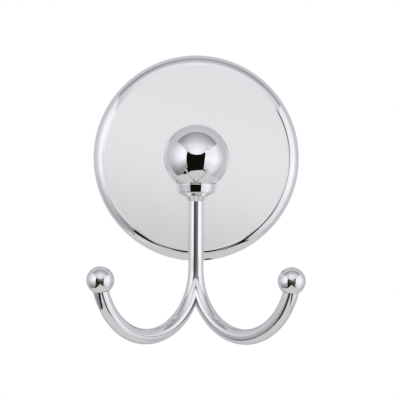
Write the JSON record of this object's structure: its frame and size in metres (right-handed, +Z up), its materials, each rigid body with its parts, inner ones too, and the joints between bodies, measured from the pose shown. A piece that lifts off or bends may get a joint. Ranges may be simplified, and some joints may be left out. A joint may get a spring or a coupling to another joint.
{
  "type": "robe hook",
  "caption": "Wall robe hook: round flat backplate with a rolled edge, a ball on a short neck, and a stem that parts into splayed upturned prongs with ball tips.",
  "frame": {"origin": "on the wall plane, at the centre of the backplate's back and of the two wall screw holes", "axes": "+Z up, +Y into the wall, so the hook faces -Y; +X is to the right for a viewer who faces the wall"},
  "size_m": [0.076, 0.0687, 0.1027],
  "materials": {
    "chrome": "polished chrome plate",
    "zinc_plate": "dull zinc plate",
    "screw_steel": "plain steel",
    "black_oxide": "black oxide steel"
  },
  "bodies": {
    "root": {"backplate": "chrome", "ball_post": "chrome", "double_hook": "chrome", "wall_bracket": "zinc_plate", "post_screw": "screw_steel", "grub_screw": "black_oxide"}
  },
  "joints": []
}
